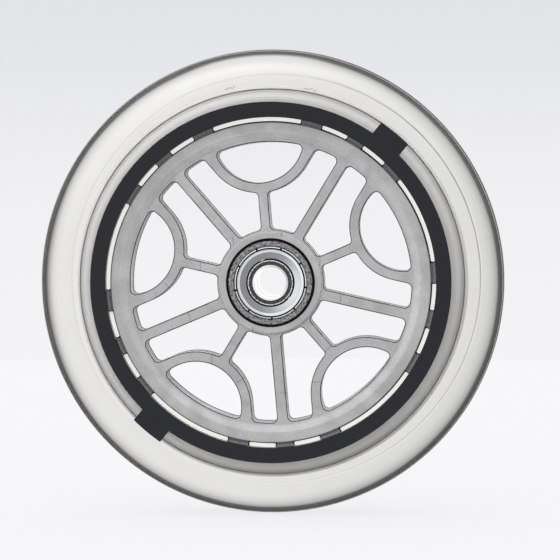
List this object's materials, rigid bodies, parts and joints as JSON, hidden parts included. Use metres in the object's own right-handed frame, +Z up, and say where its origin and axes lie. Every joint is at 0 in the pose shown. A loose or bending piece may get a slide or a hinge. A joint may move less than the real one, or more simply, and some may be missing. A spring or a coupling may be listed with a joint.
{
  "type": "caster wheel",
  "caption": "Spoked plastic wheel with a clear cast tyre and a flat black trim ring, turning on shielded ball bearings whose bore takes a plain axle.",
  "frame": {"origin": "centre of the wheel, on the axle line midway between the two side faces", "axes": "+Y along the axle, away from the face with the black trim ring; +Z up; the first forked spoke stands 5 degrees anticlockwise of +Z seen from the trim ring's side"},
  "size_m": [0.12, 0.024, 0.12],
  "materials": {
    "core_plastic": "satin silver-grey moulded plastic",
    "clear_tyre": "clear, slightly cream cast polyurethane with a polished surface",
    "black_plastic": "matt black",
    "ring_steel": "ground bearing steel",
    "shield_steel": "bright pressed steel",
    "cage_steel": "pressed steel ribbon",
    "ball_steel": "polished",
    "spacer_metal": "turned"
  },
  "bodies": {
    "axle_set": {"front_inner_ring": "ring_steel", "rear_inner_ring": "ring_steel", "bearing_spacer": "spacer_metal"},
    "wheel": {"hub_core": "core_plastic", "tyre": "clear_tyre", "trim_ring": "black_plastic", "front_outer_ring": "ring_steel", "front_outward_shield": "shield_steel", "front_inward_shield": "shield_steel", "rear_outer_ring": "ring_steel", "rear_outward_shield": "shield_steel", "rear_inward_shield": "shield_steel"},
    "front_cage": {"front_outward_cage_half": "cage_steel", "front_inward_cage_half": "cage_steel", "front_cage_rivets": "cage_steel"},
    "front_ball_1": {"front_ball_1": "ball_steel"},
    "front_ball_2": {"front_ball_2": "ball_steel"},
    "front_ball_3": {"front_ball_3": "ball_steel"},
    "front_ball_4": {"front_ball_4": "ball_steel"},
    "front_ball_5": {"front_ball_5": "ball_steel"},
    "front_ball_6": {"front_ball_6": "ball_steel"},
    "front_ball_7": {"front_ball_7": "ball_steel"},
    "rear_cage": {"rear_outward_cage_half": "cage_steel", "rear_inward_cage_half": "cage_steel", "rear_cage_rivets": "cage_steel"},
    "rear_ball_1": {"rear_ball_1": "ball_steel"},
    "rear_ball_2": {"rear_ball_2": "ball_steel"},
    "rear_ball_3": {"rear_ball_3": "ball_steel"},
    "rear_ball_4": {"rear_ball_4": "ball_steel"},
    "rear_ball_5": {"rear_ball_5": "ball_steel"},
    "rear_ball_6": {"rear_ball_6": "ball_steel"},
    "rear_ball_7": {"rear_ball_7": "ball_steel"}
  },
  "joints": [
    {"name": "wheel_spin", "type": "hinge", "parent": "axle_set", "child": "wheel", "pos_m": [0, 0, 0], "axis": [0, 1, 0], "continuous": true},
    {"name": "front_cage_spin", "type": "hinge", "parent": "axle_set", "child": "front_cage", "pos_m": [0, -0.0085, 0], "axis": [0, 1, 0], "continuous": true},
    {"name": "front_ball_1_spin", "type": "hinge", "parent": "front_cage", "child": "front_ball_1", "pos_m": [0, -0.0085, 0.0075], "axis": [0, 1, 0], "continuous": true},
    {"name": "front_ball_2_spin", "type": "hinge", "parent": "front_cage", "child": "front_ball_2", "pos_m": [0.00586, -0.0085, 0.00468], "axis": [0, 1, 0], "continuous": true},
    {"name": "front_ball_3_spin", "type": "hinge", "parent": "front_cage", "child": "front_ball_3", "pos_m": [0.00731, -0.0085, -0.00167], "axis": [0, 1, 0], "continuous": true},
    {"name": "front_ball_4_spin", "type": "hinge", "parent": "front_cage", "child": "front_ball_4", "pos_m": [0.00325, -0.0085, -0.00676], "axis": [0, 1, 0], "continuous": true},
    {"name": "front_ball_5_spin", "type": "hinge", "parent": "front_cage", "child": "front_ball_5", "pos_m": [-0.00325, -0.0085, -0.00676], "axis": [0, 1, 0], "continuous": true},
    {"name": "front_ball_6_spin", "type": "hinge", "parent": "front_cage", "child": "front_ball_6", "pos_m": [-0.00731, -0.0085, -0.00167], "axis": [0, 1, 0], "continuous": true},
    {"name": "front_ball_7_spin", "type": "hinge", "parent": "front_cage", "child": "front_ball_7", "pos_m": [-0.00586, -0.0085, 0.00468], "axis": [0, 1, 0], "continuous": true},
    {"name": "rear_cage_spin", "type": "hinge", "parent": "axle_set", "child": "rear_cage", "pos_m": [0, 0.0085, 0], "axis": [0, 1, 0], "continuous": true},
    {"name": "rear_ball_1_spin", "type": "hinge", "parent": "rear_cage", "child": "rear_ball_1", "pos_m": [0, 0.0085, 0.0075], "axis": [0, 1, 0], "continuous": true},
    {"name": "rear_ball_2_spin", "type": "hinge", "parent": "rear_cage", "child": "rear_ball_2", "pos_m": [0.00586, 0.0085, 0.00468], "axis": [0, 1, 0], "continuous": true},
    {"name": "rear_ball_3_spin", "type": "hinge", "parent": "rear_cage", "child": "rear_ball_3", "pos_m": [0.00731, 0.0085, -0.00167], "axis": [0, 1, 0], "continuous": true},
    {"name": "rear_ball_4_spin", "type": "hinge", "parent": "rear_cage", "child": "rear_ball_4", "pos_m": [0.00325, 0.0085, -0.00676], "axis": [0, 1, 0], "continuous": true},
    {"name": "rear_ball_5_spin", "type": "hinge", "parent": "rear_cage", "child": "rear_ball_5", "pos_m": [-0.00325, 0.0085, -0.00676], "axis": [0, 1, 0], "continuous": true},
    {"name": "rear_ball_6_spin", "type": "hinge", "parent": "rear_cage", "child": "rear_ball_6", "pos_m": [-0.00731, 0.0085, -0.00167], "axis": [0, 1, 0], "continuous": true},
    {"name": "rear_ball_7_spin", "type": "hinge", "parent": "rear_cage", "child": "rear_ball_7", "pos_m": [-0.00586, 0.0085, 0.00468], "axis": [0, 1, 0], "continuous": true}
  ],
  "couplings": [
    {"joint": "front_cage_spin", "follows": "wheel_spin", "ratio": 0.6323},
    {"joint": "front_ball_1_spin", "follows": "wheel_spin", "ratio": 1.7573},
    {"joint": "front_ball_2_spin", "follows": "wheel_spin", "ratio": 1.7573},
    {"joint": "front_ball_3_spin", "follows": "wheel_spin", "ratio": 1.7573},
    {"joint": "front_ball_4_spin", "follows": "wheel_spin", "ratio": 1.7573},
    {"joint": "front_ball_5_spin", "follows": "wheel_spin", "ratio": 1.7573},
    {"joint": "front_ball_6_spin", "follows": "wheel_spin", "ratio": 1.7573},
    {"joint": "front_ball_7_spin", "follows": "wheel_spin", "ratio": 1.7573},
    {"joint": "rear_cage_spin", "follows": "wheel_spin", "ratio": 0.6323},
    {"joint": "rear_ball_1_spin", "follows": "wheel_spin", "ratio": 1.7573},
    {"joint": "rear_ball_2_spin", "follows": "wheel_spin", "ratio": 1.7573},
    {"joint": "rear_ball_3_spin", "follows": "wheel_spin", "ratio": 1.7573},
    {"joint": "rear_ball_4_spin", "follows": "wheel_spin", "ratio": 1.7573},
    {"joint": "rear_ball_5_spin", "follows": "wheel_spin", "ratio": 1.7573},
    {"joint": "rear_ball_6_spin", "follows": "wheel_spin", "ratio": 1.7573},
    {"joint": "rear_ball_7_spin", "follows": "wheel_spin", "ratio": 1.7573}
  ]
}
